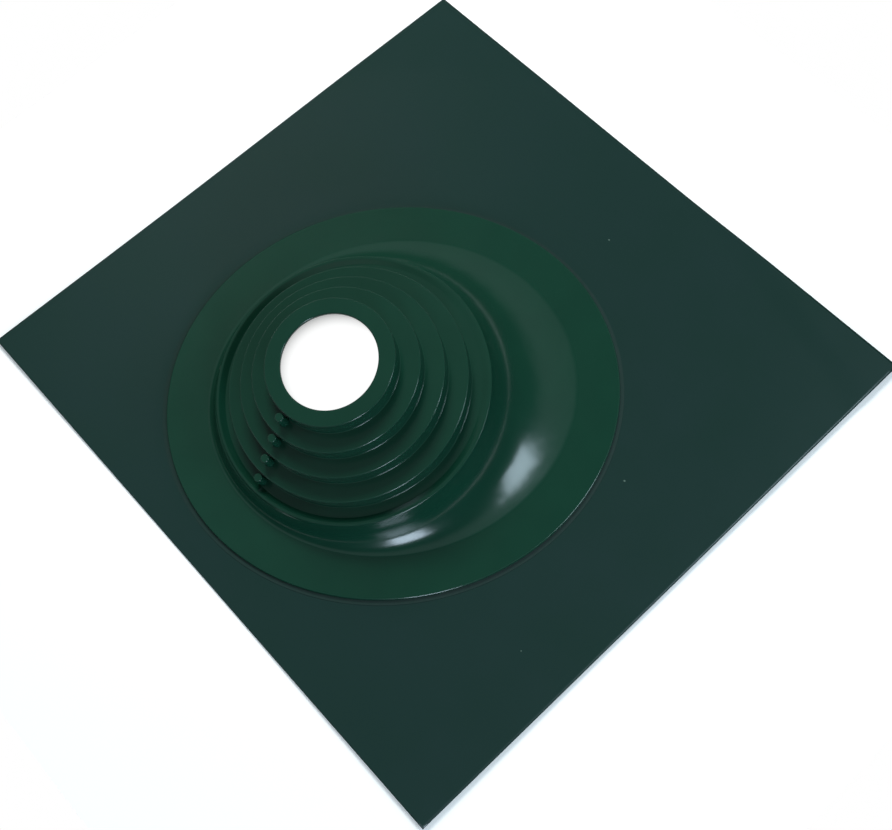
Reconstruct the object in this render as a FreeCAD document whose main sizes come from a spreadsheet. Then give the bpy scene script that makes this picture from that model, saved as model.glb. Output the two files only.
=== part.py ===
"""Pipe flashing boot for a pitched roof, in millimetres.

A stepped rubber boot, moulded in one piece, is bonded to a square painted aluminium sheet.
The sheet lies flat on the roof, its -Y edge uphill. The boot's ring stack leans uphill, so that
an upright pipe passes through it, and the whole boot is turned a little on its sheet. The
installer cuts off the rings that are too small.

The origin is the centre of the sheet's underside and +Z points out of the roof.
"""
import FreeCAD, Part
import math
import os

import Sketcher
from FreeCAD import Vector

SIZES = [
    ("sheet_thickness", 1.0, "aluminium sheet"),
    ("sheet_margin", 25.5, "beyond the flange's half length, from the foot's centre uphill"),
    ("hole_margin", 8.0, "how far the sheet reaches in under the skirt's foot"),
    ("film_thickness", 0.4, "adhesive film between sheet and boot"),
    ("film_margin", 3.5, "how far the film shows beyond the flange"),
    ("flange_width", 32.0, "flat flange outside the skirt's foot"),
    ("flange_thickness", 3.0, "flat flange"),
    ("foot_offset", 46.0, "from the sheet's centre uphill to the foot's centre"),
    ("boot_turn", 20.0, "how far the boot is turned on the sheet, towards -X, degrees"),
    ("foot_run", 26.0, "how much wider the foot is than the shoulder, each side"),
    ("foot_stretch", 30.0, "how much longer than wide the oval foot is"),
    ("skirt_inset", 2.0, "radial step from the skirt's outside to its cavity"),
    ("shoulder_height", 38.0, "centre of the lowest tread above the flange's underside"),
    ("shoulder_offset", 34.0, "from the foot's centre to the lowest tread's centre"),
    ("lip_height", 3.0, "raised lip round the lowest tread"),
    ("lip_width", 2.5, "raised lip round the lowest tread"),
    ("lean", 13.5, "tilt of the ring stack from the sheet's normal, degrees"),
    ("bore_diameter", 71.0, "opening in the top ring"),
    ("top_land", 12.0, "flat ring between the bore and the top rim"),
    ("tread_width", 14.5, "flat tread of each step"),
    ("step_rise", 15.0, "riser of each step"),
    ("ring_wall", 2.5, "rubber of the treads and risers"),
    ("peg_diameter", 6.0, "peg on each tread, near its low side"),
    ("peg_height", 12.0, "peg on each tread, near its low side"),
    ("peg_turn", 24.0, "from the low side to the row of pegs, round the stack, degrees"),
    ("peg_gap", 1.0, "between each peg and the riser behind it"),
    ("flange_easing", 1.0, "eased upper outside edge of the flange"),
    ("lip_easing", 0.7, "eased edges of the raised lip"),
    ("rim_easing", 0.8, "eased rim of each step"),
    ("peg_easing", 0.5, "eased top edge of each peg"),
]
STEPS = 4
# The skirt's profile is a quadratic curve from foot to shoulder, drawn as level sections. Its
# middle point lies at these shares of the run inwards and of the rise.
SKIRT_SECTIONS = 6
FLARE_OUT = 0.90
FLARE_UP = 0.20
# A cut runs this far past the faces that it opens, and two lengths this near are the same.
CUT_OVERRUN = 1.0
NEAR = 0.01

BORE_RADIUS = "Sizes.bore_diameter / 2"
SHOULDER_RADIUS = f"({BORE_RADIUS} + Sizes.top_land + {STEPS} * Sizes.tread_width)"
FOOT_HALF = f"({SHOULDER_RADIUS} + Sizes.foot_run)"
HALF_STRETCH = "Sizes.foot_stretch / 2"
PEG_RADIUS = "Sizes.peg_diameter / 2"
ALONG_SLOPE = "rotationz(90)"
BOOT_TURN = "rotationz(-Sizes.boot_turn)"

doc = FreeCAD.newDocument("pipe_flashing_boot")
sizes = doc.addObject("Spreadsheet::Sheet", "Sizes")
for row, (alias, value, note) in enumerate(SIZES, start=1):
    sizes.set(f"A{row}", note)
    sizes.set(f"B{row}", str(value))
    sizes.setAlias(f"B{row}", alias)
doc.recompute()


def new_body(label):
    """Return a body that becomes one sub-part."""
    body = doc.addObject("PartDesign::Body", label)
    body.Label = label
    return body


def new_sketch(body, name, role, offset):
    """Return a sketch on one of the body's origin planes, moved by a placement expression."""
    sketch = body.newObject("Sketcher::SketchObject", name)
    plane = next(item for item in body.Origin.OriginFeatures if item.Role == role)
    sketch.AttachmentSupport = [(plane, "")]
    sketch.MapMode = "FlatFace"
    sketch.setExpression("AttachmentOffset", offset)
    return sketch


def value_of(expression):
    """Return what an expression over the size table comes to."""
    return float(sizes.evalExpression(expression))


def bind(sketch, kind, where, expression):
    """Add a dimension to the sketch and tie it to the size table."""
    index = sketch.addConstraint(Sketcher.Constraint(kind, *where, value_of(expression)))
    sketch.setExpression(f"Constraints[{index}]", expression)


def draw_oval(sketch, half_width, half_length):
    """Draw an ellipse round the sketch's origin, its length along the sketch's X axis."""
    end = Vector(value_of(half_length), 0, 0)
    side = Vector(0, value_of(half_width), 0)
    oval = sketch.addGeometry(Part.Ellipse(end, side, Vector(0, 0, 0)), False)
    sketch.exposeInternalGeometry(oval)
    length_line = oval + 1
    width_line = oval + 2
    sketch.addConstraint(Sketcher.Constraint("Coincident", oval, 3, -1, 1))
    sketch.addConstraint(Sketcher.Constraint("Horizontal", length_line))
    bind(sketch, "Distance", (length_line,), f"2 * ({half_length})")
    bind(sketch, "Distance", (width_line,), f"2 * ({half_width})")


def draw_circle(sketch, radius, across="0", along="0"):
    """Draw a circle with its centre at the given distances from the sketch's origin."""
    centre = Vector(value_of(across), value_of(along), 0)
    drawn = Part.Circle(centre, Vector(0, 0, 1), value_of(radius))
    circle = sketch.addGeometry(drawn, False)
    bind(sketch, "Radius", (circle,), radius)
    for kind, distance in (("DistanceX", across), ("DistanceY", along)):
        bind(sketch, kind, (-1, 1, circle, 3), distance)


def draw_profile(sketch, corners):
    """Draw a closed outline of level and upright lines through bound (X, Y) corners."""
    points = [Vector(value_of(across), value_of(up), 0) for across, up in corners]
    lines = [
        sketch.addGeometry(Part.LineSegment(start, end), False)
        for start, end in zip(points, points[1:] + points[:1])
    ]
    for number, line in enumerate(lines):
        following = lines[(number + 1) % len(lines)]
        sketch.addConstraint(Sketcher.Constraint("Coincident", line, 2, following, 1))
    for line, (across, up) in zip(lines, corners):
        bind(sketch, "DistanceX", (-1, 1, line, 1), across)
        bind(sketch, "DistanceY", (-1, 1, line, 1), up)


def pad(body, sketch, name, length):
    """Extrude a sketch along its normal."""
    feature = body.newObject("PartDesign::Pad", name)
    feature.Profile = sketch
    feature.setExpression("Length", length)
    return feature


def turn(body, sketch, kind, name):
    """Turn a sketch once round its own upright axis, to add or to cut."""
    feature = body.newObject(f"PartDesign::{kind}", name)
    feature.Profile = sketch
    feature.ReferenceAxis = (sketch, ["V_Axis"])
    feature.Angle = 360.0
    return feature


def rim_radius(step):
    """Outside radius of a ring as an expression; step 0 is the shoulder."""
    return f"({BORE_RADIUS} + Sizes.top_land + {STEPS - step} * Sizes.tread_width)"


def peg_place(step):
    """Place of a tread's peg from the stack's axis, along the row of pegs, as an expression."""
    return f"-({rim_radius(step + 1)} + Sizes.peg_gap + {PEG_RADIUS})"


def stack_point(height):
    """Y and Z of the stack's axis, as expressions, at a height above the lowest tread."""
    across = f"(-Sizes.shoulder_offset - ({height}) * sin(Sizes.lean))"
    up = f"(Sizes.shoulder_height + ({height}) * cos(Sizes.lean))"
    return across, up


def skirt_section(body, name, share, bottom, top_height, inset):
    """Draw one level section of the skirt, from its foot (share 0) to the shoulder (share 1).

    The shares of run and rise follow a quadratic curve, so the skirt flares out at its foot.
    """
    out = 2 * share * (1 - share) * FLARE_OUT + share**2
    up = 2 * share * (1 - share) * FLARE_UP + share**2
    across_top, up_top = stack_point(top_height)
    centre = f"vector(0; {out} * {across_top}; {bottom} + {up} * ({up_top} - {bottom}))"
    turned = f"rotationx({up} * Sizes.lean) * {ALONG_SLOPE}"
    sketch = new_sketch(body, name, "XY_Plane", f"placement({centre}; {turned})")
    half_width = f"{SHOULDER_RADIUS} + {1 - out} * Sizes.foot_run - {inset}"
    if share < 1:
        draw_oval(sketch, half_width, f"{half_width} + {1 - out} * {HALF_STRETCH}")
    else:
        draw_circle(sketch, half_width)
    return sketch


def skirt_loft(body, kind, name, bottom, top_height, inset, straight=False):
    """Add or cut the flared skirt through its sections, in one curve or straight between them."""
    sections = [
        skirt_section(body, f"{name}_section_{number}", number / (SKIRT_SECTIONS - 1),
                      bottom, top_height, inset)
        for number in range(SKIRT_SECTIONS)
    ]
    loft = body.newObject(f"PartDesign::{kind}", name)
    loft.Profile = sections[0]
    loft.Sections = sections[1:]
    loft.Ruled = straight
    return loft


def ease_edges(body, base, name, edges, width):
    """Take the sharpness off the named edges of the feature before."""
    feature = body.newObject("PartDesign::Chamfer", name)
    feature.Base = (base, edges)
    feature.setExpression("Size", width)
    return feature


def oval_sketch(body, name, half_width):
    """Draw an oval with the foot's stretch on the body's own XY plane."""
    sketch = new_sketch(body, name, "XY_Plane", f"placement(vector(0; 0; 0); {ALONG_SLOPE})")
    draw_oval(sketch, half_width, f"{half_width} + {HALF_STRETCH}")
    return sketch


# Base sheet: a square of painted aluminium with an oval hole under the boot.
base_sheet = new_body("base_sheet")
sheet_half = (f"(Sizes.foot_offset + {FOOT_HALF} + {HALF_STRETCH}"
              " + Sizes.flange_width + Sizes.sheet_margin)")
blank = new_sketch(base_sheet, "blank_outline", "XY_Plane", "placement(vector(0; 0; 0); rotationz(0))")
draw_profile(blank, [
    (f"-{sheet_half}", f"-{sheet_half}"),
    (sheet_half, f"-{sheet_half}"),
    (sheet_half, sheet_half),
    (f"-{sheet_half}", sheet_half),
])
pad(base_sheet, blank, "blank", "Sizes.sheet_thickness")
hole = new_sketch(base_sheet, "hole_outline", "XY_Plane",
                  f"placement(vector(0; -Sizes.foot_offset; 0); {BOOT_TURN} * {ALONG_SLOPE})")
hole_half = f"{FOOT_HALF} - Sizes.hole_margin"
draw_oval(hole, hole_half, f"{hole_half} + {HALF_STRETCH}")
punched = base_sheet.newObject("PartDesign::Pocket", "hole")
punched.Profile = hole
punched.Type = "ThroughAll"
punched.Midplane = True

# Adhesive film: a flat oval ring under the boot's flange that shows a little beyond it.
adhesive_film = new_body("adhesive_film")
film_place = "vector(0; -Sizes.foot_offset; Sizes.sheet_thickness)"
adhesive_film.setExpression("Placement", f"placement({film_place}; {BOOT_TURN})")
film_outline = oval_sketch(adhesive_film, "film_outline",
                           f"{FOOT_HALF} + Sizes.flange_width + Sizes.film_margin")
film_inside = f"{FOOT_HALF} - Sizes.skirt_inset"
draw_oval(film_outline, film_inside, f"{film_inside} + {HALF_STRETCH}")
pad(adhesive_film, film_outline, "film", "Sizes.film_thickness")

# Boot: flange, flared skirt, raised lip, four steps and four pegs in one hollow moulding.
# Its own origin is the centre of the oval foot, on the flange's underside, and it leans to its
# own -Y.
boot = new_body("boot")
boot_place = "vector(0; -Sizes.foot_offset; Sizes.sheet_thickness + Sizes.film_thickness)"
boot.setExpression("Placement", f"placement({boot_place}; {BOOT_TURN})")

flange_outline = oval_sketch(boot, "flange_outline", f"{FOOT_HALF} + Sizes.flange_width")
pad(boot, flange_outline, "flange", "Sizes.flange_thickness")
skirt_loft(boot, "AdditiveLoft", "skirt", "Sizes.flange_thickness", "Sizes.lip_height", "0")

stack_across, stack_up = stack_point("0")
STACK_PLANE = f"placement(vector({stack_across}; {stack_up}; 0); rotationz(Sizes.lean))"
steps = new_sketch(boot, "steps_outline", "YZ_Plane", STACK_PLANE)
outline = [("0", "0")]
for step in range(1, STEPS + 1):
    outline.append((rim_radius(step), f"{step - 1} * Sizes.step_rise"))
    outline.append((rim_radius(step), f"{step} * Sizes.step_rise"))
outline.append(("0", f"{STEPS} * Sizes.step_rise"))
draw_profile(steps, outline)
turn(boot, steps, "Revolution", "steps")

skirt_loft(boot, "SubtractiveLoft", "cavity", "0", "-Sizes.ring_wall", "Sizes.skirt_inset",
           straight=True)

hollow = new_sketch(boot, "hollow_outline", "YZ_Plane", STACK_PLANE)
outline = [("0", f"-Sizes.ring_wall - {CUT_OVERRUN}")]
floor = outline[0][1]
for step in range(1, STEPS + 1):
    inside = f"{rim_radius(step)} - Sizes.ring_wall"
    outline.append((inside, floor))
    floor = f"{step} * Sizes.step_rise - Sizes.ring_wall"
    outline.append((inside, floor))
outline.append((BORE_RADIUS, floor))
outline.append((BORE_RADIUS, f"{STEPS} * Sizes.step_rise + {CUT_OVERRUN}"))
outline.append(("0", f"{STEPS} * Sizes.step_rise + {CUT_OVERRUN}"))
draw_profile(hollow, outline)
turn(boot, hollow, "Groove", "hollow")

trough = new_sketch(boot, "trough_outline", "YZ_Plane", STACK_PLANE)
trough_outside = f"{SHOULDER_RADIUS} - Sizes.lip_width"
draw_profile(trough, [
    (rim_radius(1), "0"),
    (trough_outside, "0"),
    (trough_outside, f"Sizes.lip_height + {CUT_OVERRUN}"),
    (rim_radius(1), f"Sizes.lip_height + {CUT_OVERRUN}"),
])
moulding = turn(boot, trough, "Groove", "trough")

for step in range(STEPS):
    peg_across, peg_up = stack_point(f"{step} * Sizes.step_rise")
    peg_turned = "rotationx(Sizes.lean) * rotationz(Sizes.peg_turn)"
    tread_plane = f"placement(vector(0; {peg_across}; {peg_up}); {peg_turned})"
    peg = new_sketch(boot, f"peg_outline_{step}", "XY_Plane", tread_plane)
    draw_circle(peg, PEG_RADIUS, along=peg_place(step))
    moulding = pad(boot, peg, f"peg_{step}", "Sizes.peg_height")
doc.recompute()


def middle_of(edge):
    """Return the point halfway along an edge."""
    return edge.valueAt(sum(edge.ParameterRange) / 2)


def circle_edges(feature, radius, height, along=0.0):
    """Names of the edges on a circle about the stack's axis, or about a peg beside it."""
    upright = (FreeCAD.Rotation(Vector(0, 0, 1), -sizes.peg_turn)
               * FreeCAD.Rotation(Vector(1, 0, 0), -sizes.lean))
    centre = Vector(0, -sizes.shoulder_offset, sizes.shoulder_height)
    found = []
    for number, edge in enumerate(feature.Shape.Edges, start=1):
        middle = upright.multVec(middle_of(edge) - centre)
        distance = math.hypot(middle.x, middle.y - along)
        if abs(distance - radius) < NEAR and abs(middle.z - height) < NEAR:
            found.append(f"Edge{number}")
    return found


rims = []
for step in range(1, STEPS + 1):
    rims += circle_edges(moulding, value_of(rim_radius(step)), step * sizes.step_rise)
moulding = ease_edges(boot, moulding, "rim_easing", rims, "Sizes.rim_easing")
doc.recompute()

lip_edges = []
for radius in (value_of(SHOULDER_RADIUS), value_of(trough_outside)):
    lip_edges += circle_edges(moulding, radius, sizes.lip_height)
moulding = ease_edges(boot, moulding, "lip_easing", lip_edges, "Sizes.lip_easing")
doc.recompute()

flange_end = value_of(f"{FOOT_HALF} + {HALF_STRETCH} + Sizes.flange_width")
flange_edges = []
for number, edge in enumerate(moulding.Shape.Edges, start=1):
    middle = middle_of(edge)
    if abs(abs(middle.y) - flange_end) < NEAR and abs(middle.z - sizes.flange_thickness) < NEAR:
        flange_edges.append(f"Edge{number}")
moulding = ease_edges(boot, moulding, "flange_easing", flange_edges, "Sizes.flange_easing")
doc.recompute()

peg_edges = []
for step in range(STEPS):
    top = step * sizes.step_rise + sizes.peg_height
    peg_edges += circle_edges(moulding, value_of(PEG_RADIUS), top, value_of(peg_place(step)))
ease_edges(boot, moulding, "peg_easing", peg_edges, "Sizes.peg_easing")
doc.recompute()

for item in doc.Objects:
    if {"Invalid", "Error"} & set(item.State):
        raise RuntimeError(f"{item.Label} did not build")

os.makedirs("parts", exist_ok=True)
for body in (base_sheet, adhesive_film, boot):
    if body.Shape.isNull() or not body.Shape.isValid():
        raise RuntimeError(f"{body.Label} has no valid shape")
    body.Shape.exportStep(f"parts/{body.Label}.step")
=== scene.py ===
import math

import bmesh
import bpy
from mathutils import Matrix, Quaternion, Vector


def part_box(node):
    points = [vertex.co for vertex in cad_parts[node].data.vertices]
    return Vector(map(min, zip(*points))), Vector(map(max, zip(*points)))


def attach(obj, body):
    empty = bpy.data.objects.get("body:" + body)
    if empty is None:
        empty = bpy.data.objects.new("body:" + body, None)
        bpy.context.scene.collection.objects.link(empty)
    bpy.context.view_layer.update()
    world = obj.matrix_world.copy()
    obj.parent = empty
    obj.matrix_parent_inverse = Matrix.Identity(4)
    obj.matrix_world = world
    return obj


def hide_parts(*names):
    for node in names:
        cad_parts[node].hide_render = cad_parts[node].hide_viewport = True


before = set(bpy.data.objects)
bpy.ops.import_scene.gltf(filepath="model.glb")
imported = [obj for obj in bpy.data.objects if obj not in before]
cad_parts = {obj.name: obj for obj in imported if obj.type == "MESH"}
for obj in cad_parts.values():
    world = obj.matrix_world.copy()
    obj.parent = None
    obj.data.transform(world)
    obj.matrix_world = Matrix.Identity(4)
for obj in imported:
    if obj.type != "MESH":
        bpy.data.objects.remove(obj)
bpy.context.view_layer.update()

# Base sheet
# A 500 mm square of thin aluminium, coil coated with semi-gloss dark green paint and sheared to
# size. It lies on the roof, curls up a little at its edges and has one soft bend near a corner.
# The boot stands uphill of its middle and is turned a little on it, and so is the sheet's hole.
MM = 0.001
SHEET_COLUMNS = 288
SHEET_ROWS = 70
EDGE_LIFT = 3.0 * MM
EDGE_LIFT_REACH = 0.8
FLAT_MARGIN = 40 * MM
BEND_START = Vector((0.100, 0.245))
BEND_END = Vector((0.245, 0.208))
BEND_WIDTH = 22 * MM
BEND_HEIGHT = 1.2 * MM
BEND_FADE = 0.5
FOOT_OFFSET = 46 * MM
BOOT_TURN = math.radians(20)
FOOT_HALF = Vector((131.5, 146.5)) * MM
HOLE_MARGIN = 8 * MM
PAINT_GREEN = "#142f28"
PAINT_BLUER = "#182f2d"
PAINT_SPECK = "#54685f"
PAINT_CLOUD = 70 * MM
PAINT_WAVE = 45 * MM
PAINT_WAVE_HEIGHT = 0.25 * MM
PAINT_GRAIN = 1.1 * MM
PAINT_GRAIN_HEIGHT = 0.008 * MM
PAINT_ROUGHNESS = (0.30, 0.38)
SPECK_SPACING = 30 * MM
SPECK_RADIUS = 0.84 * MM

sheet_low, sheet_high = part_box("base_sheet")
sheet_half = sheet_high.x
sheet_top = sheet_high.z
foot_centre = Vector((0, -FOOT_OFFSET))


def smooth_step(value):
    """Rise from 0 to 1 with level ends."""
    value = min(max(value, 0.0), 1.0)
    return value * value * (3 - 2 * value)


def beyond_foot(place, margin):
    """How many times as far from the foot's centre a place lies as the foot's oval and margin."""
    way = place - foot_centre
    way.rotate(Matrix.Rotation(BOOT_TURN, 2))
    return Vector((way.x / (FOOT_HALF.x + margin), way.y / (FOOT_HALF.y + margin))).length


def sheet_lift(place):
    """Height of the sheet above the roof: flat under the boot, lifted towards its edges."""
    outside = beyond_foot(place, FLAT_MARGIN) - 1
    along = BEND_END - BEND_START
    across = (place - BEND_START).dot(Vector((-along.y, along.x)).normalized())
    bend = BEND_HEIGHT * smooth_step(across / BEND_WIDTH + 0.5) * smooth_step(outside / BEND_FADE)
    return EDGE_LIFT * smooth_step(outside / EDGE_LIFT_REACH) + bend


def place_on_square(share):
    """Point on the sheet's outer edge, a share of the way round from the middle of the +X side."""
    quarters = (share * 4 + 0.5) % 4
    corner = Vector((1, (quarters % 1) * 2 - 1)) * sheet_half
    corner.rotate(Matrix.Rotation(int(quarters) * math.pi / 2, 2))
    return corner


def new_piece(name, mesh):
    """Put a mesh into the scene as an object of its own."""
    piece = bpy.data.objects.new(name, mesh)
    bpy.context.scene.collection.objects.link(piece)
    return piece


def sheet_mesh():
    """Return the sheet's upper face, from its oval hole out to its square edge."""
    points = []
    for row in range(SHEET_ROWS + 1):
        share = row / SHEET_ROWS
        for column in range(SHEET_COLUMNS):
            outer = place_on_square(column / SHEET_COLUMNS)
            inner = foot_centre.lerp(outer, 1 / beyond_foot(outer, -HOLE_MARGIN))
            place = inner.lerp(outer, share)
            points.append((place.x, place.y, sheet_top + sheet_lift(place)))
    faces = []
    for row in range(SHEET_ROWS):
        for column in range(SHEET_COLUMNS):
            start = row * SHEET_COLUMNS
            following = (column + 1) % SHEET_COLUMNS
            faces.append((start + column, start + SHEET_COLUMNS + column,
                          start + SHEET_COLUMNS + following, start + following))
    mesh = bpy.data.meshes.new("base_sheet_painted")
    mesh.from_pydata(points, [], faces)
    mesh.shade_smooth()
    return mesh


def linear(colour):
    """Turn an sRGB hex colour into linear red, green, blue and alpha."""
    channels = [int(colour[start:start + 2], 16) / 255 for start in (1, 3, 5)]
    return [c / 12.92 if c <= 0.04045 else ((c + 0.055) / 1.055) ** 2.4 for c in channels] + [1]


def add_node(tree, kind, settings=None, links=None):
    """Add a node, set its properties and inputs by name or number, and link sockets into it."""
    node = tree.nodes.new(kind)
    for key, value in (settings or {}).items():
        if isinstance(key, str) and key in node.bl_rna.properties:
            setattr(node, key, value)
        else:
            node.inputs[key].default_value = value
    for key, socket in (links or {}).items():
        tree.links.new(socket, node.inputs[key])
    return node


def new_material(name, settings):
    """Return a material with a principled shader, its node tree and that shader."""
    material = bpy.data.materials.new(name)
    material.use_nodes = True
    shader = material.node_tree.nodes["Principled BSDF"]
    for key, value in settings.items():
        shader.inputs[key].default_value = value
    return material, material.node_tree, shader


def coil_coating():
    """Polyester coil coating: semi-gloss, with a faint orange peel, cloudy tone and dust specks."""
    material, tree, shader = new_material("polyester_coil_coating", {"IOR": 1.5})
    place = add_node(tree, "ShaderNodeTexCoord").outputs["Object"]
    cloud = add_node(tree, "ShaderNodeTexNoise",
                     {"Scale": 1 / PAINT_CLOUD, "Detail": 4.0, "Roughness": 0.6}, {"Vector": place})
    tone = add_node(tree, "ShaderNodeMix",
                    {"data_type": "RGBA", 6: linear(PAINT_GREEN), 7: linear(PAINT_BLUER)},
                    {"Factor": cloud.outputs["Fac"]})
    cells = add_node(tree, "ShaderNodeTexVoronoi", {"Scale": 1 / SPECK_SPACING}, {"Vector": place})
    near = add_node(tree, "ShaderNodeMath",
                    {"operation": "LESS_THAN", 1: SPECK_RADIUS / SPECK_SPACING},
                    {0: cells.outputs["Distance"]})
    specks = add_node(tree, "ShaderNodeMix", {"data_type": "RGBA", 7: linear(PAINT_SPECK)},
                      {"Factor": near.outputs[0], 6: tone.outputs[2]})
    tree.links.new(specks.outputs[2], shader.inputs["Base Color"])
    rough = add_node(tree, "ShaderNodeMapRange",
                     {"To Min": PAINT_ROUGHNESS[0], "To Max": PAINT_ROUGHNESS[1]},
                     {"Value": cloud.outputs["Fac"]})
    tree.links.new(rough.outputs[0], shader.inputs["Roughness"])
    wave = add_node(tree, "ShaderNodeTexNoise", {"Scale": 1 / PAINT_WAVE, "Detail": 1.0},
                    {"Vector": place})
    grain = add_node(tree, "ShaderNodeTexNoise", {"Scale": 1 / PAINT_GRAIN, "Detail": 2.0},
                     {"Vector": place})
    waved = add_node(tree, "ShaderNodeBump", {"Distance": PAINT_WAVE_HEIGHT, "Strength": 1.0},
                     {"Height": wave.outputs["Fac"]})
    grained = add_node(tree, "ShaderNodeBump", {"Distance": PAINT_GRAIN_HEIGHT, "Strength": 1.0},
                       {"Height": grain.outputs["Fac"], "Normal": waved.outputs[0]})
    tree.links.new(grained.outputs[0], shader.inputs["Normal"])
    return material


base_sheet = new_piece("base_sheet_painted", sheet_mesh())
base_sheet.data.materials.append(coil_coating())
solidify = base_sheet.modifiers.new("thickness", "SOLIDIFY")
solidify.thickness = sheet_high.z - sheet_low.z
solidify.offset = -1
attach(base_sheet, "root")
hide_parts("base_sheet")

# Adhesive film
# A thin oval ring of butyl adhesive between the sheet and the boot's flange. It is squeezed out a
# few millimetres past the flange, so its soft edge is seen all round.
FILM_GREEN = "#23322f"
FILM_SKIN = 4 * MM
FILM_SKIN_HEIGHT = 0.1 * MM


def butyl():
    """Butyl adhesive: soft, slightly tacky satin with a fine uneven skin."""
    material, tree, shader = new_material("butyl_adhesive", {"IOR": 1.5, "Roughness": 0.5})
    place = add_node(tree, "ShaderNodeTexCoord").outputs["Object"]
    skin = add_node(tree, "ShaderNodeTexNoise", {"Scale": 1 / FILM_SKIN, "Detail": 3.0},
                    {"Vector": place})
    tone = add_node(tree, "ShaderNodeMix",
                    {"data_type": "RGBA", 6: linear(FILM_GREEN), 7: linear(PAINT_GREEN)},
                    {"Factor": skin.outputs["Fac"]})
    tree.links.new(tone.outputs[2], shader.inputs["Base Color"])
    bump = add_node(tree, "ShaderNodeBump", {"Distance": FILM_SKIN_HEIGHT, "Strength": 1.0},
                    {"Height": skin.outputs["Fac"]})
    tree.links.new(bump.outputs[0], shader.inputs["Normal"])
    return material


film_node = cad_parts["adhesive_film"]
film_node.data.materials.clear()
film_node.data.materials.append(butyl())

# Boot
# One hollow moulding in glossy green rubber: flange, flared oblique skirt, a lip round the lowest
# tread and four stepped rings. It leans uphill, so that an upright pipe passes through it, and
# the lip leans a little less than the rings, so the trough inside it is deepest on the low side.
BOOT_SEGMENTS = 256
FLANGE_WIDTH = 32 * MM
SKIRT_ROWS = 36
CORNER_ROWS = 4
FLANGE_THICKNESS = 3 * MM
FLANGE_ROUND = 1.2 * MM
FOOT_RUN = 26 * MM
SKIRT_INSET = 2 * MM
FLARE = ((0.0, 0.0), (0.62, 0.12), (0.96, 0.36), (1.0, 1.0))
SHOULDER_OFFSET = 34 * MM
SHOULDER_HEIGHT = 38 * MM
LEAN = math.radians(13.5)
LIP_HEIGHT = 2.2 * MM
LIP_LEVELLING = math.radians(1.1)
LIP_WIDTH = 2.5 * MM
LIP_SLOPE = 4 * MM
LIP_ROUND = 1.1 * MM
LIP_INNER_ROUND = 0.8 * MM
LIP_FOOT_ROUND = 1.5 * MM
STEPS = 4
BORE_RADIUS = 35.5 * MM
TOP_LAND = 12 * MM
TREAD_WIDTH = 14.5 * MM
STEP_RISE = 15 * MM
RING_WALL = 2.5 * MM
RIM_ROUND = 1.0 * MM
FOOT_ROUND = 0.6 * MM
SUPPORT = 0.5 * MM
SEAM_GAP = 0.001 * MM
RUBBER_GREEN = "#113a2b"
RUBBER_DEEP = "#0e3427"
RUBBER_WAVE = 30 * MM
RUBBER_WAVE_HEIGHT = 0.4 * MM
RUBBER_GRAIN = 1.5 * MM
RUBBER_GRAIN_HEIGHT = 0.006 * MM
RUBBER_ROUGHNESS = (0.15, 0.21)

boot_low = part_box("boot")[0]
boot_place = (Matrix.Translation((foot_centre.x, foot_centre.y, boot_low.z))
              @ Matrix.Rotation(-BOOT_TURN, 4, "Z"))
stretch = FOOT_HALF.y - FOOT_HALF.x
shoulder_radius = BORE_RADIUS + TOP_LAND + STEPS * TREAD_WIDTH
lip_inside = shoulder_radius - LIP_WIDTH
stack_axis = Vector((0, -math.sin(LEAN), math.cos(LEAN)))
stack_base = Vector((0, -SHOULDER_OFFSET, SHOULDER_HEIGHT))


def level_section(half_width, height):
    """Section of the flange: an oval round the foot's centre."""
    return Vector((0, 0, height)), 0.0, half_width, half_width + stretch


def ring_section(radius, height):
    """Section of the ring stack: a circle round its leaning axis, or round the lip's own."""
    rise = min(max(height / LIP_HEIGHT, 0), 1) if radius > lip_inside - LIP_SLOPE else 0
    return stack_base + stack_axis * height, LEAN - LIP_LEVELLING * rise, radius, radius


def skirt_section(share, bottom, top_height, inset):
    """Section of the skirt, from its foot (share 0) to the shoulder (share 1).

    The shares of run and rise follow a cubic curve, so the skirt flares out at its foot.
    """
    weights = [math.comb(3, order) * share**order * (1 - share)**(3 - order) for order in range(4)]
    out, up = (sum(w * point[axis] for w, point in zip(weights, FLARE)) for axis in (0, 1))
    top = stack_base + stack_axis * top_height
    centre = Vector((0, out * top.y, bottom + up * (top.z - bottom)))
    half_width = shoulder_radius + (1 - out) * FOOT_RUN - inset
    tilt = up * (LEAN - (LIP_LEVELLING if top_height > 0 else 0))
    return centre, tilt, half_width, half_width + (1 - out) * stretch


def rounded(corners):
    """Turn (across, up, radius) corners into points, with arcs and a support point beside each."""
    points = [Vector(corners[0][:2])]
    for before, corner, after in zip(corners, corners[1:], corners[2:]):
        middle = Vector(corner[:2])
        back = (Vector(before[:2]) - middle).normalized()
        ahead = (Vector(after[:2]) - middle).normalized()
        if corner[2] == 0:
            points.append(middle)
            continue
        reach = corner[2] / math.tan(back.angle(ahead) / 2)
        start, end = middle + back * reach, middle + ahead * reach
        points.append(start + back * SUPPORT)
        for row in range(CORNER_ROWS + 1):
            share = row / CORNER_ROWS
            bow = start.lerp(middle, share).lerp(middle.lerp(end, share), share)
            points.append(bow)
        points.append(end + ahead * SUPPORT)
    return points + [Vector(corners[-1][:2])]


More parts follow.
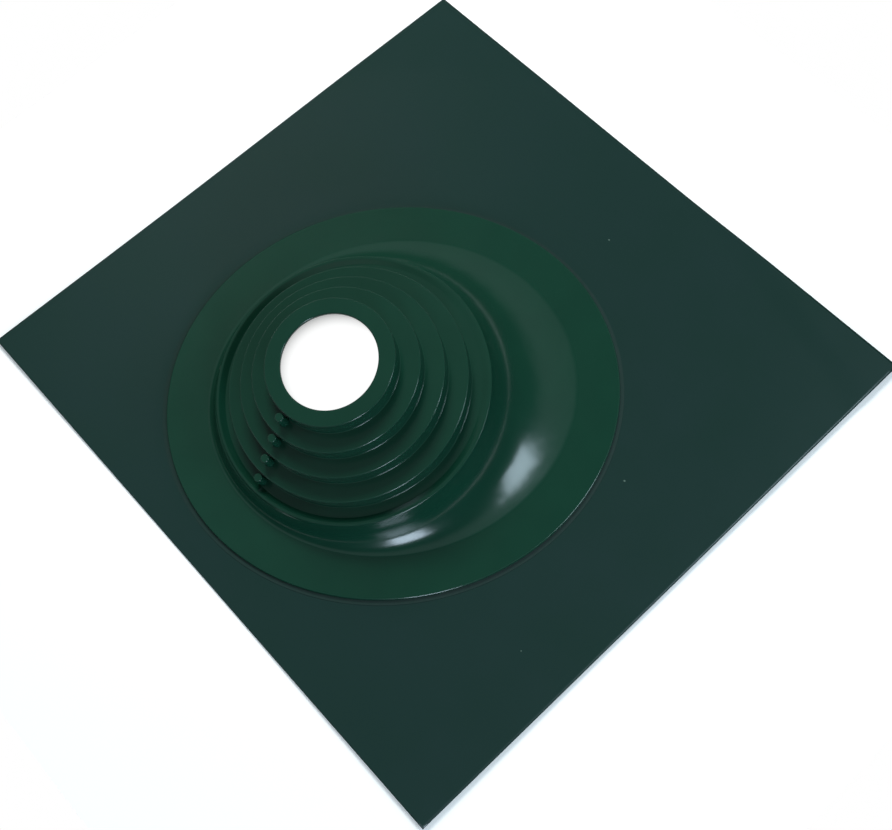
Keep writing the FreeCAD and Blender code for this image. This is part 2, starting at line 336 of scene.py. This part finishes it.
def boot_sections():
    """All sections of the boot, up its outside, through the bore and down its hollow inside."""
    flange_half = FOOT_HALF.x + FLANGE_WIDTH
    flange = rounded([
        (FOOT_HALF.x - SKIRT_INSET, 0, 0),
        (flange_half, 0, 0),
        (flange_half, FLANGE_THICKNESS, FLANGE_ROUND),
        (FOOT_HALF.x + SUPPORT, FLANGE_THICKNESS, 0),
        (FOOT_HALF.x, FLANGE_THICKNESS, 0),
    ])
    sections = [level_section(point.x, point.y) for point in flange]
    skirt_end = 1 - LIP_ROUND / SHOULDER_HEIGHT
    sections += [
        skirt_section(skirt_end * row / SKIRT_ROWS, FLANGE_THICKNESS, LIP_HEIGHT, 0)
        for row in range(1, SKIRT_ROWS)
    ]
    outline = [
        (shoulder_radius, 0, 0),
        (shoulder_radius, LIP_HEIGHT, LIP_ROUND),
        (lip_inside, LIP_HEIGHT, LIP_INNER_ROUND),
        (lip_inside - LIP_SLOPE, 0, LIP_FOOT_ROUND),
    ]
    for step in range(STEPS):
        radius = shoulder_radius - (step + 1) * TREAD_WIDTH
        outline.append((radius, step * STEP_RISE, FOOT_ROUND))
        outline.append((radius, (step + 1) * STEP_RISE, RIM_ROUND))
    top = STEPS * STEP_RISE
    outline += [(BORE_RADIUS, top, RIM_ROUND), (BORE_RADIUS, top - RING_WALL, 0)]
    for step in reversed(range(STEPS)):
        inside = shoulder_radius - (step + 1) * TREAD_WIDTH - RING_WALL
        outline.append((inside, (step + 1) * STEP_RISE - RING_WALL, FOOT_ROUND))
        outline.append((inside, step * STEP_RISE - RING_WALL, RIM_ROUND))
    outline.append((shoulder_radius - SKIRT_INSET, -RING_WALL, 0))
    sections += [ring_section(point.x, point.y) for point in rounded(outline)[2:]]
    sections += [
        skirt_section(1 - row / SKIRT_ROWS, 0, -RING_WALL, SKIRT_INSET)
        for row in range(1, SKIRT_ROWS + 1)
    ]
    return sections


def section_cloud(name, sections):
    """Return an object with one point for each section, which holds its sizes and tilt."""
    mesh = bpy.data.meshes.new(name)
    mesh.from_pydata([tuple(section[0]) for section in sections], [], [])
    for number, key in enumerate(("tilt", "half_width", "half_length"), start=1):
        attribute = mesh.attributes.new(key, "FLOAT", "POINT")
        attribute.data.foreach_set("value", [section[number] for section in sections])
    return new_piece(name, mesh)


def new_tree(name, inputs):
    """Return a geometry node tree with named inputs, its input node and its output node."""
    tree = bpy.data.node_groups.new(name, "GeometryNodeTree")
    tree.interface.new_socket("Geometry", in_out="INPUT", socket_type="NodeSocketGeometry")
    for key, kind, value in inputs:
        socket = tree.interface.new_socket(key, in_out="INPUT", socket_type=kind)
        socket.default_value = value
    tree.interface.new_socket("Geometry", in_out="OUTPUT", socket_type="NodeSocketGeometry")
    return tree, tree.nodes.new("NodeGroupInput"), tree.nodes.new("NodeGroupOutput")


def loft_tree():
    """Node tree that joins oval sections, one after another, into one closed skin."""
    tree, given, result = new_tree("loft_through_sections", [
        ("Segments", "NodeSocketInt", 64),
        ("Finish", "NodeSocketMaterial", None),
    ])
    size = add_node(tree, "GeometryNodeAttributeDomainSize", {"component": "MESH"},
                    {"Geometry": given.outputs["Geometry"]})
    columns = add_node(tree, "ShaderNodeMath", {"operation": "ADD", 1: 1.0},
                       {0: given.outputs["Segments"]})
    grid = add_node(tree, "GeometryNodeMeshGrid", {},
                    {"Vertices X": size.outputs["Point Count"], "Vertices Y": columns.outputs[0]})
    index = add_node(tree, "GeometryNodeInputIndex")
    row = add_node(tree, "ShaderNodeMath", {"operation": "DIVIDE"},
                   {0: index.outputs[0], 1: columns.outputs[0]})
    row = add_node(tree, "ShaderNodeMath", {"operation": "FLOOR"}, {0: row.outputs[0]})
    column = add_node(tree, "ShaderNodeMath", {"operation": "MODULO"},
                      {0: index.outputs[0], 1: columns.outputs[0]})
    turn = add_node(tree, "ShaderNodeMath", {"operation": "DIVIDE"},
                    {0: column.outputs[0], 1: given.outputs["Segments"]})
    angle = add_node(tree, "ShaderNodeMath", {"operation": "MULTIPLY", 1: math.tau},
                     {0: turn.outputs[0]})

    def of_section(key):
        """Read one value of the section that a grid row stands for."""
        kind = "FLOAT_VECTOR" if key == "centre" else "FLOAT"
        if key == "centre":
            field = add_node(tree, "GeometryNodeInputPosition")
        else:
            field = add_node(tree, "GeometryNodeInputNamedAttribute",
                             {"data_type": kind, "Name": key})
        sample = add_node(tree, "GeometryNodeSampleIndex", {"data_type": kind},
                          {"Geometry": given.outputs["Geometry"], "Value": field.outputs[0],
                           "Index": row.outputs[0]})
        return sample.outputs[0]

    offsets = {}
    for axis, operation, key in (("X", "COSINE", "half_width"), ("Y", "SINE", "half_length")):
        wave = add_node(tree, "ShaderNodeMath", {"operation": operation}, {0: angle.outputs[0]})
        scaled = add_node(tree, "ShaderNodeMath", {"operation": "MULTIPLY"},
                          {0: wave.outputs[0], 1: of_section(key)})
        offsets[axis] = scaled.outputs[0]
    flat = add_node(tree, "ShaderNodeCombineXYZ", {}, offsets)
    tilted = add_node(tree, "ShaderNodeVectorRotate", {"rotation_type": "X_AXIS"},
                      {"Vector": flat.outputs[0], "Angle": of_section("tilt")})
    place = add_node(tree, "ShaderNodeVectorMath", {"operation": "ADD"},
                     {0: tilted.outputs[0], 1: of_section("centre")})
    skin = add_node(tree, "GeometryNodeSetPosition", {},
                    {"Geometry": grid.outputs["Mesh"], "Position": place.outputs[0]})
    merged = add_node(tree, "GeometryNodeMergeByDistance", {"Distance": SEAM_GAP},
                      {"Geometry": skin.outputs[0]})
    smooth = add_node(tree, "GeometryNodeSetShadeSmooth", {}, {"Geometry": merged.outputs[0]})
    painted = add_node(tree, "GeometryNodeSetMaterial", {},
                       {"Geometry": smooth.outputs[0], "Material": given.outputs["Finish"]})
    tree.links.new(painted.outputs[0], result.inputs[0])
    return tree


def run_tree(piece, tree, values):
    """Run a node tree on an object and keep the result as the object's own plain mesh."""
    modifier = piece.modifiers.new(tree.name, "NODES")
    modifier.node_group = tree
    for socket in tree.interface.items_tree:
        if socket.in_out == "INPUT" and socket.name in values:
            modifier[socket.identifier] = values[socket.name]
    shown = piece.evaluated_get(bpy.context.evaluated_depsgraph_get())
    mesh = bpy.data.meshes.new_from_object(shown)
    piece.modifiers.clear()
    piece.data = mesh
    return piece


def face_outwards(mesh):
    """Turn every face of a closed mesh outwards."""
    skin = bmesh.new()
    skin.from_mesh(mesh)
    bmesh.ops.recalc_face_normals(skin, faces=skin.faces)
    skin.to_mesh(mesh)
    skin.free()


def rubber():
    """Glossy moulded rubber: deep green, with a slow waviness from the mould and a faint grain."""
    material, tree, shader = new_material("glossy_epdm_rubber", {"IOR": 1.5})
    place = add_node(tree, "ShaderNodeTexCoord").outputs["Object"]
    wave = add_node(tree, "ShaderNodeTexNoise", {"Scale": 1 / RUBBER_WAVE, "Detail": 2.0},
                    {"Vector": place})
    grain = add_node(tree, "ShaderNodeTexNoise", {"Scale": 1 / RUBBER_GRAIN, "Detail": 3.0},
                     {"Vector": place})
    tone = add_node(tree, "ShaderNodeMix",
                    {"data_type": "RGBA", 6: linear(RUBBER_GREEN), 7: linear(RUBBER_DEEP)},
                    {"Factor": wave.outputs["Fac"]})
    tree.links.new(tone.outputs[2], shader.inputs["Base Color"])
    rough = add_node(tree, "ShaderNodeMapRange",
                     {"To Min": RUBBER_ROUGHNESS[0], "To Max": RUBBER_ROUGHNESS[1]},
                     {"Value": grain.outputs["Fac"]})
    tree.links.new(rough.outputs[0], shader.inputs["Roughness"])
    waved = add_node(tree, "ShaderNodeBump", {"Distance": RUBBER_WAVE_HEIGHT, "Strength": 1.0},
                     {"Height": wave.outputs["Fac"]})
    grained = add_node(tree, "ShaderNodeBump", {"Distance": RUBBER_GRAIN_HEIGHT, "Strength": 1.0},
                       {"Height": grain.outputs["Fac"], "Normal": waved.outputs[0]})
    tree.links.new(grained.outputs[0], shader.inputs["Normal"])
    return material


rubber_finish = rubber()
loft = loft_tree()
boot = section_cloud("rubber_boot", boot_sections())
run_tree(boot, loft, {"Segments": BOOT_SEGMENTS, "Finish": rubber_finish})

# Pegs
# Four short pegs of the same moulding, one on each tread beside the riser, in a row that stands
# a little beside the low side.
PEG_SEGMENTS = 32
PEG_RADIUS = 3.3 * MM
PEG_HEIGHT = 12 * MM
PEG_GAP = 1 * MM
PEG_ROUND = 0.9 * MM
PEG_SUNK = 0.6 * MM
PEG_TURN = math.radians(22.5)


def peg_sections():
    """Sections of one upright peg, from its sunk foot with a small cove to its rounded top."""
    outline = rounded([
        (0, -PEG_SUNK, 0),
        (PEG_RADIUS + PEG_ROUND, -PEG_SUNK, 0),
        (PEG_RADIUS, PEG_ROUND, 0),
        (PEG_RADIUS, PEG_HEIGHT, PEG_ROUND),
        (0, PEG_HEIGHT, 0),
    ])
    return [(Vector((0, 0, point.y)), 0.0, point.x, point.x) for point in outline]


def peg_row_tree():
    """Node tree that stands one peg on each tread, turns the row and leans it with the rings."""
    tree, given, result = new_tree("pegs_on_treads", [
        ("Peg", "NodeSocketObject", None),
        ("Count", "NodeSocketInt", 4),
        ("First Place", "NodeSocketVector", (0, 0, 0)),
        ("Tread Width", "NodeSocketFloat", TREAD_WIDTH),
        ("Step Rise", "NodeSocketFloat", STEP_RISE),
        ("Turn", "NodeSocketFloat", 0.0),
        ("Lean", "NodeSocketFloat", 0.0),
        ("Stack Base", "NodeSocketVector", (0, 0, 0)),
        ("Finish", "NodeSocketMaterial", None),
    ])
    stride = add_node(tree, "ShaderNodeCombineXYZ", {},
                      {"Y": given.outputs["Tread Width"], "Z": given.outputs["Step Rise"]})
    row = add_node(tree, "GeometryNodeMeshLine", {"mode": "OFFSET"},
                   {"Count": given.outputs["Count"],
                    "Start Location": given.outputs["First Place"],
                    "Offset": stride.outputs[0]})
    peg = add_node(tree, "GeometryNodeObjectInfo", {}, {"Object": given.outputs["Peg"]})
    pegs = add_node(tree, "GeometryNodeInstanceOnPoints", {},
                    {"Points": row.outputs[0], "Instance": peg.outputs["Geometry"]})
    single = add_node(tree, "GeometryNodeRealizeInstances", {}, {"Geometry": pegs.outputs[0]})
    turn = add_node(tree, "ShaderNodeCombineXYZ", {}, {"Z": given.outputs["Turn"]})
    turned = add_node(tree, "GeometryNodeTransform", {},
                      {"Geometry": single.outputs[0], "Rotation": turn.outputs[0]})
    tilt = add_node(tree, "ShaderNodeCombineXYZ", {}, {"X": given.outputs["Lean"]})
    leaning = add_node(tree, "GeometryNodeTransform", {},
                       {"Geometry": turned.outputs[0], "Rotation": tilt.outputs[0],
                        "Translation": given.outputs["Stack Base"]})
    painted = add_node(tree, "GeometryNodeSetMaterial", {},
                       {"Geometry": leaning.outputs[0], "Material": given.outputs["Finish"]})
    tree.links.new(painted.outputs[0], result.inputs[0])
    return tree


peg = section_cloud("peg", peg_sections())
run_tree(peg, loft, {"Segments": PEG_SEGMENTS, "Finish": rubber_finish})
face_outwards(peg.data)
first_peg = shoulder_radius - TREAD_WIDTH + PEG_GAP + PEG_RADIUS
pegs = run_tree(section_cloud("pegs", []), peg_row_tree(), {
    "Peg": peg,
    "Count": STEPS,
    "First Place": (0, -first_peg, 0),
    "Tread Width": TREAD_WIDTH,
    "Step Rise": STEP_RISE,
    "Turn": PEG_TURN,
    "Lean": LEAN,
    "Stack Base": tuple(stack_base),
    "Finish": rubber_finish,
})


def weld_into(piece, others):
    """Add other objects' meshes to a piece's mesh and remove those objects."""
    skin = bmesh.new()
    for part in [piece] + others:
        skin.from_mesh(part.data)
    skin.to_mesh(piece.data)
    skin.free()
    for part in others:
        bpy.data.objects.remove(part)


face_outwards(boot.data)
weld_into(boot, [pegs])
bpy.data.objects.remove(peg)
boot.data.transform(boot_place)
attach(boot, "root")
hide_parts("boot")

# Stage
# A plain white floor, a little larger than the sheet, that keeps the part's soft shadow. It looks
# white to the camera and in reflections, while the lamps stay at a plain level. A painted pool of
# light glows in a soft spot under the open bore, and its fading edge paints a shade at one side of
# the bore. The room beyond it is as white to the camera.
FLOOR_HALF = 0.42
FLOOR_DROP = 0.2 * MM
FLOOR_WHITE = 0.88
FLOOR_GLOW = 0.20
# Painted light: a glowing spot on the floor under the open bore, whose soft edge paints a shade at
# one side of the bore.
PAINTED_BORE_GLOW = 1.0
PAINTED_BORE_LIGHT = Vector((-0.042, -0.064, 0))
BORE_LIGHT_RADIUS = 58 * MM
BORE_LIGHT_EDGE = 20 * MM


def white_floor():
    """Matt white, lifted to white for the camera, with a painted pool of light under the open bore.
    """
    material = bpy.data.materials.new("white_floor")
    material.use_nodes = True
    tree = material.node_tree
    tree.nodes.clear()
    ray = add_node(tree, "ShaderNodeLightPath").outputs
    matt = add_node(tree, "ShaderNodeBsdfDiffuse", {"Color": (FLOOR_WHITE,) * 3 + (1,)})
    place = add_node(tree, "ShaderNodeTexCoord").outputs["Object"]
    # Painted light: the glow rises to full white in a spot under the open bore, and its fading edge
    # is painted shade.
    away = add_node(tree, "ShaderNodeVectorMath", {"operation": "DISTANCE", 1: PAINTED_BORE_LIGHT},
                    {0: place})
    glow = add_node(tree, "ShaderNodeMapRange",
                    {"interpolation_type": "SMOOTHSTEP",
                     "From Min": BORE_LIGHT_RADIUS, "From Max": BORE_LIGHT_RADIUS - BORE_LIGHT_EDGE,
                     "To Min": FLOOR_GLOW, "To Max": PAINTED_BORE_GLOW},
                    {"Value": away.outputs["Value"]})
    mirrored = add_node(tree, "ShaderNodeMath", {"operation": "MAXIMUM"},
                        {0: ray["Is Glossy Ray"], 1: ray["Is Transmission Ray"]})
    seen = add_node(tree, "ShaderNodeMath", {"operation": "MAXIMUM"},
                    {0: ray["Is Camera Ray"], 1: mirrored.outputs[0]})
    level = add_node(tree, "ShaderNodeMath", {"operation": "MULTIPLY"},
                     {0: seen.outputs[0], 1: glow.outputs[0]})
    light = add_node(tree, "ShaderNodeEmission", {}, {"Strength": level.outputs[0]})
    both = add_node(tree, "ShaderNodeAddShader", {}, {0: matt.outputs[0], 1: light.outputs[0]})
    add_node(tree, "ShaderNodeOutputMaterial", {}, {"Surface": both.outputs[0]})
    return material


floor_mesh = bpy.data.meshes.new("floor")
floor_corners = ((-1, -1), (1, -1), (1, 1), (-1, 1))
floor_mesh.from_pydata([(x * FLOOR_HALF, y * FLOOR_HALF, -FLOOR_DROP) for x, y in floor_corners],
                       [], [(0, 1, 2, 3)])
floor = new_piece("floor", floor_mesh)
floor.data.materials.append(white_floor())

# Lamps and world
# A plain studio. The room is dark low down and overhead, with a pale band between them and a pale
# wall on the left. A soft key lamp hangs high on the left, where gloss doesn't mirror it, a tall
# window lamp gives the rubber its crisp highlight, and a softer one stands beside it.
ROOM_SHADES = ((0.0, 0.05), (0.53, 0.05), (0.66, 0.48), (0.80, 0.42), (0.89, 0.10), (1.0, 0.05))
ROOM_AXIS = (-0.310, 0.145, 0.940)
ROOM_COOL = "#d9f2f2"
WALL_AXIS = (-0.453, 0.122, 0.883)
WALL_EDGE = 0.88
WALL_LEVEL = 0.22
LAMP_COOL = "#d8ecff"


def lamp(name, place, size, power, colour):
    """Hang a soft rectangular lamp that points at the part."""
    light = bpy.data.lights.new(name, "AREA")
    light.shape = "RECTANGLE"
    light.size, light.size_y = size
    light.energy = power
    light.color = linear(colour)[:3]
    hung = new_piece(name, light)
    hung.location = place
    hung.rotation_euler = (-Vector(place)).to_track_quat("-Z", "Y").to_euler()
    return hung


key = lamp("key_lamp", (-1.12, 0.52, 1.58), (0.8, 0.8), 32, "#ffffff")
key.visible_glossy = False
lamp("window_lamp", (2.0, -1.05, 0.75), (0.6, 1.15), 33, LAMP_COOL)
lamp("soft_lamp", (1.31, 0.95, 1.56), (0.6, 0.75), 15, "#d8f0ff")

world = bpy.data.worlds.new("room")
bpy.context.scene.world = world
world.use_nodes = True
world.node_tree.nodes.clear()
way_out = add_node(world.node_tree, "ShaderNodeTexCoord").outputs["Generated"]
over = add_node(world.node_tree, "ShaderNodeVectorMath",
                {"operation": "DOT_PRODUCT", 1: ROOM_AXIS}, {0: way_out})
room_level = add_node(world.node_tree, "ShaderNodeValToRGB", {}, {"Fac": over.outputs["Value"]})
beside = add_node(world.node_tree, "ShaderNodeVectorMath",
                  {"operation": "DOT_PRODUCT", 1: WALL_AXIS}, {0: way_out})
wall_level = add_node(world.node_tree, "ShaderNodeMapRange",
                      {"From Min": WALL_EDGE, "From Max": 1.0, "To Min": 0.0, "To Max": WALL_LEVEL},
                      {"Value": beside.outputs["Value"]})
shades = add_node(world.node_tree, "ShaderNodeMath", {"operation": "ADD"},
                  {0: room_level.outputs[0], 1: wall_level.outputs[0]})
stops = room_level.color_ramp.elements
for place, shade in ROOM_SHADES[1:-1]:
    stops.new(place)
for stop, (place, shade) in zip(stops, ROOM_SHADES):
    stop.position, stop.color = place, (shade,) * 3 + (1,)
room_seen = add_node(world.node_tree, "ShaderNodeLightPath").outputs["Is Camera Ray"]
room = add_node(world.node_tree, "ShaderNodeBackground", {"Color": linear(ROOM_COOL)},
                {"Strength": shades.outputs[0]})
backdrop = add_node(world.node_tree, "ShaderNodeBackground", {"Color": (1, 1, 1, 1)})
surrounds = add_node(world.node_tree, "ShaderNodeMixShader", {},
                     {0: room_seen, 1: room.outputs[0], 2: backdrop.outputs[0]})
add_node(world.node_tree, "ShaderNodeOutputWorld", {}, {"Surface": surrounds.outputs[0]})

# Camera
# The photograph's view: close above the part, turned so that the sheet stands on a corner. The
# shift is only what places the part in the frame as the photograph does.
CAMERA_PLACE = Vector((0.2408, -0.2711, 0.7683))
CAMERA_AIM = Vector((0.0021, -0.1058, 0.0))
CAMERA_ROLL = math.radians(7.65)
CAMERA_LENS = 42.96
CAMERA_SHIFT = (0.1222, 0.0306)

camera_data = bpy.data.cameras.new("camera")
camera_data.sensor_width = 36
camera_data.lens = CAMERA_LENS
camera_data.shift_x, camera_data.shift_y = CAMERA_SHIFT
camera = new_piece("camera", camera_data)
camera.location = CAMERA_PLACE
camera.rotation_mode = "QUATERNION"
camera.rotation_quaternion = ((CAMERA_AIM - CAMERA_PLACE).to_track_quat("-Z", "Y")
                              @ Quaternion((0, 0, 1), -CAMERA_ROLL))
bpy.context.scene.camera = camera
bpy.context.scene.view_settings.view_transform = "Standard"
